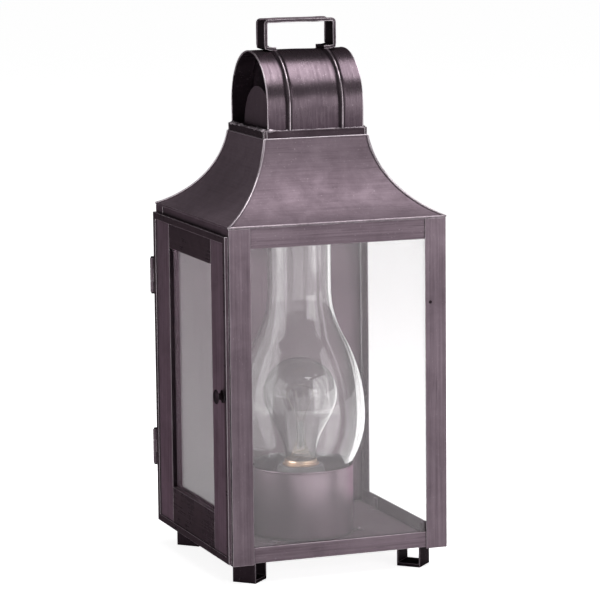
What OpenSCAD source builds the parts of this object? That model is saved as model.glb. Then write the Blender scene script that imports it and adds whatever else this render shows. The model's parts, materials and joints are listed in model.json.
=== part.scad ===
// Sheet-metal lantern with a glazed door, a glass chimney over a lamp, a flared roof and a barrel vent.
// Millimetres. The origin is the middle of the square plan on the standing surface, the front faces -Y,
// the door hangs on the -X side and its hinges are at the rear.

/* [Body] */
// Width and depth of the square body over the corner posts
body_w = 178; // [170:1:190]
// Height of the body from the bottom of the posts to the eave
body_h = 260.8; // [255:0.1:280]
// Height of the feet under the body
foot_h = 16.5; // [14:0.5:24]
// Width of each flange of the angle posts
post_w = 17.5; // [16:0.5:19]
// Height of the bottom rails
low_rail_h = 12.3; // [11:0.1:16]
// Height of the top rails
top_rail_h = 16; // [14:0.5:20]
// Thickness of the sheet metal
sheet_t = 0.9; // [0.8:0.05:1]
// Thickness of the window glass
glass_t = 2.4; // [2:0.1:2.6]

/* [Roof and vent] */
// Rise of the roof from the eave to the collar
roof_rise = 61.7; // [55:0.1:70]
// Hollow of the curved roof measured from its straight slope
roof_sag = 10; // [6:0.5:12]
// Side of the square collar
collar_w = 85; // [80:1:88]
// Height of the collar
collar_h = 6.5; // [5:0.5:10]
// Outer radius of the vent hood's arch
hood_r = 42.2; // [40:0.1:42.4]
// Height of the hood's straight sides
hood_side = 17.3; // [14:0.1:22]
// Length of the vent hood
hood_l = 79; // [70:1:84]
// Overall width of the handle
handle_w = 60; // [54:1:66]
// Height of the handle above the hood
handle_h = 24.5; // [22:0.5:30]

/* [Door] */
// Height of the door
door_h = 253.3; // [250:0.1:253.5]
// Width of the folded border round the door
border_w = 5.5; // [5:0.1:6]
// Width of the door's upright members, border included
stile_w = 36; // [34:1:38]
// Height of the door's top member, border included
door_top_h = 25; // [22:1:30]
// Height of the door's bottom member, border included
door_low_h = 34.2; // [30:0.1:38]
// Height of the knob above the bottom of the posts
knob_z = 132; // [110:1:150]

/* [Lamp] */
// Outer radius of the cup round the lamp
cup_r = 41.6; // [41:0.1:42.6]
// Height of the cup
cup_h = 55.5; // [52:0.5:58]
// Greatest outer radius of the chimney
bulge_r = 51.5; // [50:0.1:53]
// Outer radius of the chimney's neck
neck_r = 25.5; // [24:0.1:27]
// Greatest radius of the bulb
bulb_r = 29.5; // [28:0.1:30]

/* [Hidden] */
$fn = 64;

eps = 0.01;
patina = [0.36, 0.32, 0.35];
dark = [0.14, 0.11, 0.13];
brass = [0.72, 0.52, 0.34];
clear = [0.85, 0.87, 0.88, 0.35];
moulding = [0.16, 0.15, 0.15];

half = body_w / 2;
base_z = foot_h;
eave_z = base_z + body_h;
// Rails stand inside the post flanges, and the panes stand inside the rails.
rail_out = half - sheet_t;
rail_in = rail_out - sheet_t;
rail_end = rail_in - 0.2;
rail_z = base_z + 1.2;
floor_z = rail_z + sheet_t;
floor_top = floor_z + sheet_t;
flange_w = 10;
pane_out = rail_in - 0.1;
pane_half = pane_out - 3.6;
pane_low = floor_top + 0.1;
pane_top = eave_z - 2.3;

collar_z = eave_z + roof_rise;
plate_z = collar_z + collar_h;
hood_z = plate_z + hood_side;
hood_top = hood_z + hood_r;
vent_r = 29;
baffle_r = 31.5;
baffle_x = hood_l / 2 - 7.5;
bead_x = 21.75;
bead_r = 1.9;
bead_sink = 0.4;

handle_d = 20;
hem = 3;
web = 1.2;
tab_l = 7;
tab_t = 2.2;
tab_rivet_x = handle_w / 2 - hem - 1.6;

foot_c = 68.5;
foot_w = 19.7;
foot_t = 1.2;
sole_t = 3;
foot_top = floor_z;
// The rails' flat flanges stop short of the feet.
flange_half = foot_c - 6;

// Door thicknesses, counted outwards from the body's left face
door_gap = 0.3;
door_in = -half - door_gap;
door_t = 2.8;
door_out = door_in - door_t;
lip = 0.8;
door_z = base_z + 1.8;
door_top = door_z + door_h;
door_front = -half + 0.8;
door_rear = half - 1.4;
open_front = door_front + stile_w - 0.8;
open_rear = door_rear - stile_w - 1.6;
open_low = door_z + door_low_h;
open_top = door_top - door_top_h;
sheet_out = door_out + lip + 0.1;
reveal = 4;
door_pane_x = sheet_out + reveal + 0.1;

hinge_x = -half - 2.6;
hinge_y = half + 2;
leaf_x = -half + 0.5;
hinge_zs = [base_z + 48.4, base_z + 189.2];
hinge_h = 27.8;
knuckle_r = 2.4;
pin_r = 1.2;
pin_fit = 0.05;
knuckle_gap = 0.3;
mid_h = 9.6;
end_h = (hinge_h - mid_h) / 2 - knuckle_gap;

latch_y = -half + 9;
latch_z = base_z + knob_z;
spindle_r = 1.9;
notch_h = 11;
cam_x = -half + 1.3;
cam_t = 1.2;

cup_top = floor_top + cup_h;
seat_z = cup_top - 14;
chimney_foot = seat_z + 0.3;
chimney_top = eave_z - 2.8;
chimney_t = 2;
chimney_base_r = cup_r - sheet_t - 0.8;

holder_z = floor_top + sheet_t + 0.1;
holder_top = holder_z + 53.5;
holder_r = 19;
cap_r = 13.05;
shell_r = cap_r + 0.35;
cap_z = holder_z + 33.5;
cap_h = 24;
glass_z = cap_z + cap_h;

function arc(c, r, a0, a1, n) = [
    for (i = [0 : n]) let (a = a0 + (a1 - a0) * i / n) c + r * [cos(a), sin(a)]
];

// ---------------------------------------------------------------- body shell

module base_pan() {
    color(patina)
    difference() {
        translate([-pane_out, -pane_out, floor_z]) cube([2 * pane_out, 2 * pane_out, sheet_t]);
        translate([0, 0, floor_z - eps]) cylinder(r = 5, h = sheet_t + 2 * eps);
    }
}

// Angle post with its outer corner at the body's front right corner
module post() {
    translate([half - post_w, -half, base_z]) cube([post_w, sheet_t, body_h]);
    translate([half - sheet_t, -half, base_z]) cube([sheet_t, post_w, body_h]);
}

module front_right_post() { color(patina) post(); }
module rear_right_post() { color(patina) rotate([0, 0, 90]) post(); }
module rear_left_post() { color(patina) rotate([0, 0, 180]) post(); }

// The front left post is notched behind the door, so that the latch can pass.
module front_left_post() {
    color(patina)
    difference() {
        rotate([0, 0, -90]) post();
        translate([-half - eps, -half + 3, latch_z - notch_h / 2])
            cube([sheet_t + 2 * eps, post_w, notch_h]);
    }
}

// Angle rail along the front: an upright leg of height h from z, and a flat flange inwards at flange_z
module rail(z, h, flange_z) {
    translate([-rail_end, -rail_out, z]) cube([2 * rail_end, sheet_t, h]);
    translate([-flange_half, -rail_in - eps, flange_z]) cube([2 * flange_half, flange_w + eps, sheet_t]);
}

module low_rail() { rail(rail_z, low_rail_h, rail_z); }
module top_rail() { rail(eave_z - top_rail_h, top_rail_h, eave_z - sheet_t); }

module front_bottom_rail() { color(patina) low_rail(); }
module right_bottom_rail() { color(patina) rotate([0, 0, 90]) low_rail(); }
module left_sill() { color(patina) rotate([0, 0, -90]) low_rail(); }
module front_top_rail() { color(patina) top_rail(); }
module right_top_rail() { color(patina) rotate([0, 0, 90]) top_rail(); }
module left_header() { color(patina) rotate([0, 0, -90]) top_rail(); }

module back_panel() {
    color(patina) translate([-rail_end, rail_in, rail_z]) cube([2 * rail_end, sheet_t, eave_z - rail_z]);
}

module pane() {
    translate([-pane_half, -pane_out, pane_low]) cube([2 * pane_half, glass_t, pane_top - pane_low]);
}

module front_glass() { color(clear) pane(); }
module right_glass() { color(clear) rotate([0, 0, 90]) pane(); }

// Bent tabs behind the front and right panes, soldered to the floor and to the top rails
module clip_pair(x) {
    clip_y = -pane_out + glass_t + 0.05;
    for (z = [[floor_top, floor_top], [eave_z - 10, eave_z - 2 * sheet_t]]) {
        translate([x - 4, clip_y, z[0]]) cube([8, 0.8, 10 - sheet_t]);
        translate([x - 4, clip_y, z[1]]) cube([8, z[0] == z[1] ? 6 : 5, sheet_t]);
    }
}

module glass_clips() {
    color(patina)
    for (turn = [0, 90], x = [-50, 50]) rotate([0, 0, turn]) clip_pair(x);
}

// ---------------------------------------------------------------- roof

// The roof's profile is a circular arc through the eave corner and the collar's foot.
eave_p = [half, eave_z + 0.8];
collar_p = [collar_w / 2, collar_z];
chord = norm(eave_p - collar_p);
roof_r = (chord * chord / 4 + roof_sag * roof_sag) / (2 * roof_sag);
seam_h = 1.5;
seam_w = 2.6;
slope_n = [eave_p.y - collar_p.y, collar_p.x - eave_p.x] / chord;
roof_c = (eave_p + collar_p) / 2 - slope_n * (roof_r - roof_sag);

// A curved sheet over the front quarter, from radius r0 to r1 about the roof arc's axis
module roof_sheet(r0, r1) {
    intersection() {
        translate([-half, 0, 0]) rotate([90, 0, 90]) linear_extrude(body_w)
            intersection() {
                translate([-roof_c.x, roof_c.y]) difference() {
                    circle(r = r1, $fn = 180);
                    circle(r = r0, $fn = 180);
                }
                translate([-half, eave_z]) square([body_w / 2, roof_rise]);
            }
        translate([0, 0, eave_z - 1]) linear_extrude(roof_rise + 2)
            polygon([[0, 0], [-half - 1, -half - 1], [half + 1, -half - 1]]);
    }
}

module roof_panel() { roof_sheet(roof_r, roof_r + sheet_t); }

module roof_front() { color(patina) roof_panel(); }
module roof_right() { color(patina) rotate([0, 0, 90]) roof_panel(); }
module roof_rear() { color(patina) rotate([0, 0, 180]) roof_panel(); }
module roof_left() { color(patina) rotate([0, 0, -90]) roof_panel(); }

// Raised solder seams over the four hips
module hip_seams() {
    color(patina)
    for (turn = [0 : 90 : 270]) rotate([0, 0, turn]) intersection() {
        union() {
            roof_sheet(roof_r - seam_h, roof_r);
            rotate([0, 0, 90]) roof_sheet(roof_r - seam_h, roof_r);
        }
        rotate([0, 0, -45]) translate([0, -seam_w / 2, 0]) cube([2 * half, seam_w, collar_z]);
    }
}

module roof_collar() {
    color(patina)
    difference() {
        translate([-collar_w / 2, -collar_w / 2, collar_z]) cube([collar_w, collar_w, collar_h]);
        translate([-collar_w / 2 + sheet_t, -collar_w / 2 + sheet_t, collar_z - eps])
            cube([collar_w - 2 * sheet_t, collar_w - 2 * sheet_t, collar_h - sheet_t + eps]);
        translate([0, 0, collar_z]) cylinder(r = vent_r, h = collar_h + 1);
    }
}

// ---------------------------------------------------------------- vent hood and handle

// Stilted arch of radius r standing on the collar plate
module arch(r, side) {
    translate([0, side]) circle(r = r, $fn = 128);
    translate([-r, 0]) square([2 * r, side]);
}

module along_x(length) {
    translate([-length / 2, 0, plate_z]) rotate([90, 0, 90]) linear_extrude(length) children();
}

// Swaged rib that follows the arch at one place along the hood
module hood_bead(x) {
    ring_r = hood_r - bead_sink;
    translate([x, 0, hood_z]) rotate([0, 90, 0]) rotate([0, 0, 90])
        rotate_extrude(angle = 180, $fn = 128) translate([ring_r, 0]) circle(r = bead_r, $fn = 24);
    for (side = [-1, 1])
        translate([x, side * ring_r, plate_z]) cylinder(r = bead_r, h = hood_side, $fn = 24);
}

module vent_hood() {
    color(patina)
    difference() {
        union() {
            along_x(hood_l) arch(hood_r, hood_side);
            for (x = [-bead_x, bead_x]) hood_bead(x);
        }
        along_x(hood_l + 2) translate([0, -eps]) arch(hood_r - sheet_t, hood_side + eps);
        translate([-hood_l, -hood_l, plate_z - hood_r]) cube([2 * hood_l, 2 * hood_l, hood_r]);
    }
}

module vent_baffles() {
    color(patina)
    for (side = [-1, 1]) translate([side * baffle_x - sheet_t / 2, 0, plate_z]) rotate([90, 0, 90])
        linear_extrude(sheet_t) intersection() {
            circle(r = baffle_r, $fn = 96);
            translate([-baffle_r, 0]) square([2 * baffle_r, baffle_r]);
        }
}

// Strap with folded edges, bent square, with curved tabs that turn inwards over the hood's ribs
module handle() {
    top = hood_top + handle_h;
    leg_z = hood_z + sqrt(pow(hood_r, 2) - pow(handle_d / 2, 2));
    inner = handle_w - 2 * hem;
    color(dark)
    difference() {
        union() {
            translate([-handle_w / 2, -handle_d / 2, leg_z]) cube([handle_w, handle_d, top - leg_z]);
            for (side = [-1, 1])
                intersection() {
                    translate([side * (inner - tab_l) / 2 - tab_l / 2 - eps, -handle_d / 2, hood_z])
                        cube([tab_l + 2 * eps, handle_d, hood_r + tab_t]);
                    translate([-handle_w, 0, hood_z]) rotate([0, 90, 0])
                        cylinder(r = hood_r + tab_t, h = 2 * handle_w, $fn = 128);
                }
        }
        translate([-inner / 2, -handle_d, hood_top + tab_t])
            cube([inner, 2 * handle_d, handle_h - tab_t - hem]);
        translate([-inner / 2 + tab_l, -handle_d, leg_z - 1])
            cube([inner - 2 * tab_l, 2 * handle_d, hood_top + tab_t + eps - leg_z + 1]);
        // recess between the folded edges, on the outside of both legs and along the top
        for (side = [-1, 1])
            translate([side * (inner / 2 + web + hem) - hem, -handle_d / 2 + hem, leg_z - 1])
                cube([2 * hem, handle_d - 2 * hem, top]);
        translate([-handle_w, -handle_d / 2 + hem, top - hem + web])
            cube([2 * handle_w, handle_d - 2 * hem, hem]);
        translate([-handle_w, 0, hood_z]) rotate([0, 90, 0])
            cylinder(r = hood_r, h = 2 * handle_w, $fn = 128);
        for (x = [-bead_x, bead_x]) hood_bead(x);
    }
}

// Round-headed rivet that points down from z, through material of thickness grip
module rivet(head_r, shank_r, grip) {
    head_h = head_r * 0.45;
    sphere_r = (head_r * head_r + head_h * head_h) / (2 * head_h);
    intersection() {
        translate([0, 0, head_h - sphere_r]) sphere(r = sphere_r);
        cylinder(r = head_r, h = head_h + 1);
    }
    translate([0, 0, -grip]) cylinder(r = shank_r, h = grip + eps);
    translate([0, 0, -grip - 0.7]) cylinder(r = shank_r * 1.5, h = 0.7 + eps);
}

module handle_rivets() {
    color(patina)
    for (x = [-tab_rivet_x, tab_rivet_x])
        translate([x, 0, hood_top + tab_t]) rivet(1.3, 0.7, tab_t + sheet_t);
}

// ---------------------------------------------------------------- feet

// Square loop of strap under one corner, set at 45 degrees, with its open sides to the front and rear
module foot(x, y) {
    color(dark)
    translate([x * foot_c, y * foot_c, 0]) rotate([0, 0, -45 * x]) difference() {
        translate([-foot_w / 2, -foot_w / 2, 0]) cube([foot_w, foot_w, foot_top]);
        translate([-foot_w / 2 + foot_t, -foot_w, sole_t])
            cube([foot_w - 2 * foot_t, 2 * foot_w, foot_top - sole_t - foot_t]);
    }
}

module front_right_foot() { foot(1, -1); }
module rear_right_foot() { foot(1, 1); }
module rear_left_foot() { foot(-1, 1); }
module front_left_foot() { foot(-1, -1); }

module foot_rivets() {
    color(patina)
    for (x = [-foot_c, foot_c], y = [-foot_c, foot_c])
        translate([x, y, floor_top]) rivet(3, 1.5, sheet_t + foot_t);
}

// ---------------------------------------------------------------- lamp

module chimney_cup() {
    color(patina)
    difference() {
        translate([0, 0, floor_top]) cylinder(r = cup_r, h = cup_h, $fn = 96);
        translate([0, 0, floor_top + sheet_t]) cylinder(r = cup_r - sheet_t, h = cup_h, $fn = 96);
        translate([0, 0, floor_z]) cylinder(r = 5, h = 5);
    }
}

// Ring inside the cup that carries the chimney
module chimney_seat() {
    color(patina)
    translate([0, 0, seat_z - sheet_t]) difference() {
        cylinder(r = cup_r - sheet_t - 0.05, h = sheet_t, $fn = 96);
        translate([0, 0, -1]) cylinder(r = holder_r + 3, h = sheet_t + 2);
    }
}

tab_turns = [-19, 101, 221];
tab_r = cup_r + 4.5;

module cup_tabs() {
    color(patina)
    for (turn = tab_turns) rotate([0, 0, turn]) difference() {
        translate([cup_r - 1, -4, floor_top]) cube([9, 8, sheet_t]);
        translate([0, 0, floor_z]) cylinder(r = cup_r + 0.02, h = 10, $fn = 96);
    }
}

module cup_rivets() {
    color(patina)
    for (turn = tab_turns) rotate([0, 0, turn])
        translate([tab_r, 0, floor_top + sheet_t]) rivet(1.8, 1, 2 * sheet_t);
}

// Hollow threaded pipe that fixes the lampholder, and the wires' way down
module nipple() {
    color(brass)
    translate([0, 0, floor_z - 5.5]) difference() {
        cylinder(r = 4.9, h = 14);
        translate([0, 0, -1]) cylinder(r = 3.4, h = 16);
    }
}

module locknut() {
    color(brass)
    translate([0, 0, floor_z - 3.2]) difference() {
        cylinder(r = 9, h = 3.1, $fn = 6);
        translate([0, 0, -1]) cylinder(r = 4.95, h = 6);
    }
}

module lampholder() {
    color(moulding)
    translate([0, 0, holder_z]) difference() {
        rotate_extrude($fn = 96) polygon([
            [0, 0], [15, 0], [holder_r, 4], [holder_r, 50],
            [holder_r - 1.5, holder_top - holder_z], [0, holder_top - holder_z]
        ]);
        translate([0, 0, 32]) cylinder(r = shell_r + 0.65, h = 40, $fn = 96);
        translate([0, 0, -1]) cylinder(r = 4.95, h = 9.5);
        translate([0, 0, -1]) cylinder(r = 3, h = 40);
    }
}

// Threaded sleeve that takes the bulb's cap, with its rim turned out
module lampholder_shell() {
    color(brass)
    translate([0, 0, holder_z + 33]) difference() {
        union() {
            cylinder(r = shell_r + 0.6, h = 20.5, $fn = 96);
            translate([0, 0, 20.55]) cylinder(r = shell_r + 1.4, h = 0.6, $fn = 96);
            translate([0, 0, 20]) cylinder(r = shell_r + 0.6, h = 1, $fn = 96);
        }
        translate([0, 0, -1]) cylinder(r = shell_r, h = 30, $fn = 96);
    }
}

module centre_contact() {
    color(brass)
    translate([0, 0, holder_z + 30]) cylinder(r = 2.9, h = 3.1);
}

module bulb_cap() {
    color(brass)
    translate([0, 0, cap_z]) rotate_extrude($fn = 96) polygon([
        [0, 1.2], [4, 1.2], [9.5, 4], [cap_r - 0.8, 6], [cap_r, 8], [cap_r, cap_h], [0, cap_h]
    ]);
}

// Solder button under the cap: it is round, so it shows the bulb's rise and not its turning
module bulb_contact() {
    color(patina) translate([0, 0, cap_z]) cylinder(r = 3.2, h = 1.2);
}

// Pear-shaped outline: a dome over the widest place, and a long cone into the cap
bulb_c = glass_z + 52.5;
bulb_neck_r = cap_r - 1;
bulb_top = bulb_c + bulb_r;
function bulb_side(r, inset) = concat(
    [for (i = [0 : 12]) let (u = i / 12, s = (1 - cos(180 * u)) / 2)
        [bulb_neck_r - inset + (r - bulb_neck_r + inset) * s, glass_z + (bulb_c - glass_z) * pow(u, 0.9)]],
    arc([0, bulb_c], r, 7.5, 82.5, 10));

module bulb_glass() {
    color(clear)
    rotate_extrude($fn = 96) difference() {
        polygon(concat([[0, glass_z]], bulb_side(bulb_r, 0), [[0, bulb_top]]));
        polygon(concat([[0, glass_z - 1], [bulb_neck_r - 0.8, glass_z - 1]], bulb_side(bulb_r - 0.8, 0.8),
            [[0, bulb_top - 0.8]]));
    }
}

// Flared glass mount that carries the lead wires
module bulb_stem() {
    color(clear)
    translate([0, 0, glass_z]) rotate_extrude($fn = 48) polygon([
        [0, 0], [bulb_neck_r - 1.5, 0], [6, 8], [3.5, 16], [3, 26], [3.6, 30], [0, 31]
    ]);
}

// Two splayed lead wires with the coiled filament bowed between their tips
module bulb_filament() {
    lead_a = 24;
    lead_l = 24;
    tip_z = glass_z + 31 + lead_l * cos(lead_a);
    bow_r = 14.5;
    bow_a = 36;
    color(brass) {
        for (side = [-1, 1])
            translate([side * 2, 0, glass_z + 31]) rotate([0, side * lead_a, 0])
                cylinder(r = 0.4, h = lead_l);
        translate([0, 0, tip_z - bow_r * sin(bow_a) + 0.2]) rotate([90, 0, 0]) rotate([0, 0, bow_a])
            rotate_extrude(angle = 180 - 2 * bow_a) translate([bow_r, 0]) circle(r = 0.7, $fn = 16);
    }
}

// Chimney wall: a fitter base, a full bulge, a hollow shoulder and a straight neck, all tangent arcs
bulge_z = base_z + 97;
low_r = 70.9;
high_r = 133;
turn_a = 28.5;
base_a = -33.2;
shoulder_r = bulge_r - high_r * (1 - cos(turn_a));
shoulder_z = bulge_z + high_r * sin(turn_a);
hollow_r = (shoulder_r - neck_r) / (1 - cos(turn_a));
neck_z = shoulder_z + hollow_r * sin(turn_a);

function chimney_side(inset) = concat(
    [[chimney_base_r - inset, chimney_foot]],
    arc([bulge_r - low_r, bulge_z], low_r - inset, base_a, 0, 12),
    arc([bulge_r - high_r, bulge_z], high_r - inset, 2, turn_a, 14),
    arc([neck_r + hollow_r, neck_z], hollow_r + inset, 180 + turn_a - 3, 180, 10),
    [[neck_r - inset, chimney_top]]);

module chimney_glass() {
    side = chimney_side(0);
    inner = chimney_side(chimney_t);
    color(clear)
    rotate_extrude($fn = 128) polygon(concat(side, [for (i = [len(inner) - 1 : -1 : 0]) inner[i]]));
}

// ---------------------------------------------------------------- door

// Upright sheet of the door with the flange that returns along the opening, from y0 to y1
module stile(y0, y1, flange_y) {
    translate([sheet_out, y0, door_z + sheet_t]) cube([sheet_t, y1 - y0, door_h - 2 * sheet_t]);
    translate([sheet_out, flange_y, open_low - 8]) cube([reveal, sheet_t, open_top - open_low + 16]);
}

module latch_bore() {
    translate([sheet_out - 1, latch_y, latch_z]) rotate([0, 90, 0]) cylinder(r = spindle_r + pin_fit, h = 3);
}

module door_front_stile() {
    color(patina)
    difference() {
        stile(door_front + sheet_t, open_front, open_front - sheet_t);
        latch_bore();
    }
}

module door_rear_stile() { color(patina) stile(open_rear, door_rear - sheet_t, open_rear); }

// Cross member between the stiles, from z0 to z1
module cross(z0, z1, flange_z) {
    gap = 0.15;
    wide = open_rear - open_front - 2 * gap;
    translate([sheet_out, open_front + gap, z0]) cube([sheet_t, wide, z1 - z0]);
    translate([sheet_out, open_front + gap, flange_z]) cube([reveal, wide, sheet_t]);
}

module door_top_rail() { color(patina) cross(open_top, door_top - sheet_t, open_top); }
module door_bottom_rail() { color(patina) cross(door_z + sheet_t, open_low, open_low - sheet_t); }

// Folded channel along one edge, w long, mitred at both ends, its web on the outside
module border_bar(w) {
    intersection() {
        difference() {
            cube([door_t, w, border_w]);
            translate([lip, -1, sheet_t]) cube([door_t - 2 * lip, w + 2, border_w]);
        }
        rotate([90, 0, 90]) translate([0, 0, -1]) linear_extrude(door_t + 2)
            polygon([[0, 0], [w, 0], [w - border_w - 1, border_w + 1], [border_w + 1, border_w + 1]]);
    }
}

module door_border() {
    wide = door_rear - door_front;
    color(patina) {
        translate([door_out, door_front, door_z]) border_bar(wide);
        translate([door_out, door_front, door_top]) mirror([0, 0, 1]) border_bar(wide);
        translate([door_out, door_front, door_top]) rotate([-90, 0, 0]) border_bar(door_h);
        translate([door_out, door_rear, door_z]) rotate([90, 0, 0]) border_bar(door_h);
    }
}

door_pane_lap = 8;

module door_glass() {
    color(clear)
    translate([door_pane_x, open_front - door_pane_lap, open_low - door_pane_lap])
        cube([glass_t, open_rear - open_front + 2 * door_pane_lap, open_top - open_low + 2 * door_pane_lap]);
}

// Bent tabs behind the door's pane, soldered to the backs of the stiles
module door_glass_clips() {
    back = door_pane_x + glass_t + 0.05;
    color(patina)
    for (z = [open_low + 20, open_top - 20], side = [[open_front - 13, 0], [open_rear + 13, -1]])
        translate([0, side[0], z - 4]) {
            translate([back, side[1] * 9, 0]) cube([0.8, 9, 8]);
            translate([sheet_out + sheet_t, side[1] * 0.8, 0])
                cube([back - sheet_out - sheet_t + 0.8, 0.8, 8]);
        }
}

// ---------------------------------------------------------------- hinges

module knuckle(z, h) {
    translate([hinge_x, hinge_y, z]) difference() {
        cylinder(r = knuckle_r, h = h, $fn = 48);
        translate([0, 0, -1]) cylinder(r = pin_r + pin_fit, h = h + 2, $fn = 48);
    }
}

// Removes the pin's bore from anything that reaches into a knuckle
module pin_bore(z) {
    translate([hinge_x, hinge_y, z - 5]) cylinder(r = pin_r + pin_fit, h = hinge_h + 10, $fn = 48);
}

module hinge_body_leaves() {
    color(patina)
    for (z = hinge_zs) {
        for (dz = [0, hinge_h - end_h]) {
            knuckle(z + dz, end_h);
            difference() {
                translate([hinge_x, half, z + dz]) cube([leaf_x - hinge_x + 1, sheet_t, end_h]);
                pin_bore(z);
            }
        }
        translate([leaf_x, half, z]) cube([14, sheet_t, hinge_h]);
    }
}

module hinge_door_leaves() {
    mid_z = (hinge_h - mid_h) / 2;
    color(patina)
    for (z = hinge_zs) {
        translate([door_out + 0.1, door_rear, z]) cube([door_t - 0.2, 0.6, hinge_h]);
        knuckle(z + mid_z, mid_h);
        difference() {
            translate([door_out + 0.1, door_rear, z + mid_z]) cube([1.4, hinge_y - door_rear - 1.4, mid_h]);
            pin_bore(z);
        }
    }
}

module hinge_pins() {
    color(dark)
    for (z = hinge_zs) translate([hinge_x, hinge_y, z]) {
        translate([0, 0, -0.3]) cylinder(r = pin_r, h = hinge_h + 0.6, $fn = 48);
        for (head = [-1.2, hinge_h + 0.2]) translate([0, 0, head]) cylinder(r = 1.9, h = 1, $fn = 48);
    }
}

// ---------------------------------------------------------------- latch

// Turned knob: a flange near the door, a waist and a dished head
module latch_knob() {
    start = door_out + lip;
    color(dark)
    translate([start, latch_y, latch_z]) rotate([0, -90, 0]) rotate_extrude($fn = 64) polygon([
        [0, 0], [2.3, 0], [2.3, 1.1], [5.2, 1.1], [5.2, 1.7], [2.7, 2.6], [2.4, 4.4], [3.4, 5.4],
        [5.7, 6], [5.7, 6.7], [4.6, 7.5], [2.4, 8], [0, 8.1]
    ]);
}

module latch_spindle() {
    color(brass)
    translate([door_out - 2, latch_y, latch_z]) rotate([0, 90, 0])
        cylinder(r = spindle_r, h = cam_x + cam_t + 0.4 - door_out + 2, $fn = 48);
}

// Turn button behind the door: it lies level to open, and stands up behind the post to hold the door
module latch_cam() {
    color(patina)
    translate([cam_x, latch_y, latch_z]) {
        rotate([0, 90, 0]) cylinder(r = 3.8, h = cam_t);
        translate([0, 0, -2.6]) cube([cam_t, 11, 5.2]);
    }
}

base_pan();
front_left_post();
front_right_post();
rear_left_post();
rear_right_post();
front_top_rail();
front_bottom_rail();
right_top_rail();
right_bottom_rail();
left_header();
left_sill();
back_panel();
front_glass();
right_glass();
glass_clips();
roof_front();
roof_right();
roof_rear();
roof_left();
hip_seams();
roof_collar();
vent_hood();
vent_baffles();
handle();
handle_rivets();
front_left_foot();
front_right_foot();
rear_left_foot();
rear_right_foot();
foot_rivets();
chimney_cup();
chimney_seat();
cup_tabs();
cup_rivets();
nipple();
locknut();
lampholder();
lampholder_shell();
centre_contact();
bulb_cap();
bulb_contact();
bulb_glass();
bulb_stem();
bulb_filament();
chimney_glass();
door_front_stile();
door_rear_stile();
door_top_rail();
door_bottom_rail();
door_border();
door_glass();
door_glass_clips();
hinge_body_leaves();
hinge_door_leaves();
hinge_pins();
latch_knob();
latch_spindle();
latch_cam();
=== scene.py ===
import json
import math

import bmesh
import bpy
from mathutils import Matrix, Vector, noise


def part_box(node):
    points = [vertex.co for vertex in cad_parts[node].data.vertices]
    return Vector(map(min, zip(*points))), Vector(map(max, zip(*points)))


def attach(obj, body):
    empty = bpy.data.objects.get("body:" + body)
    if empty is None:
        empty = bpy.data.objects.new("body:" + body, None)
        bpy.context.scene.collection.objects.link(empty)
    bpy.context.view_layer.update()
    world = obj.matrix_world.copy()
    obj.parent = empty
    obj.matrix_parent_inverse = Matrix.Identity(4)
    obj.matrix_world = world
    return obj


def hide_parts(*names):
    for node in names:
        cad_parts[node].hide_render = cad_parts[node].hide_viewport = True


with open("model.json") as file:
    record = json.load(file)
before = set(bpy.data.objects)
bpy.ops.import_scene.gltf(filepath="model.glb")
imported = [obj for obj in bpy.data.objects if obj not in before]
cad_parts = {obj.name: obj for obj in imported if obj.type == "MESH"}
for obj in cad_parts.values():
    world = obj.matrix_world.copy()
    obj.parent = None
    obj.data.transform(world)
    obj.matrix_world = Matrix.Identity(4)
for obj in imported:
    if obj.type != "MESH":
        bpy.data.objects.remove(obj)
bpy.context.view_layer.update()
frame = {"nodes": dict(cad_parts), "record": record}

MM = 0.001
SMOOTH_ANGLE = 38  # degrees: corners sharper than this stay sharp
NODES = frame["nodes"]
BODIES = frame["record"]["behaviour"]["bodies"]
BODY_OF = {node: body for body, nodes in BODIES.items() for node in nodes}


def low(node):
    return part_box(node)[0]


def high(node):
    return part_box(node)[1]


# ------------------------------------------------------------ places, from the frame

half = high("front_right_post").x
eave_z = high("front_right_post").z
base_z = low("front_right_post").z
floor_top = high("base_pan").z
collar_half = high("roof_collar").x
collar_z = low("roof_collar").z
plate_z = high("roof_collar").z
hood_half = high("vent_hood").x
handle_half = high("handle").x
handle_deep = high("handle").y
handle_top = high("handle").z
hood_r = 42.2 * MM
hood_z = plate_z + 17.3 * MM
hood_top = hood_z + hood_r
bead_x = 21.75 * MM
sheet_t = 0.9 * MM
cup_r = high("chimney_cup").x
cup_top = high("chimney_cup").z
knob_start = high("latch_knob").x
knob_y = (low("latch_knob").y + high("latch_knob").y) / 2
knob_z = (low("latch_knob").z + high("latch_knob").z) / 2

# ------------------------------------------------------------ node-tree helpers


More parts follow.
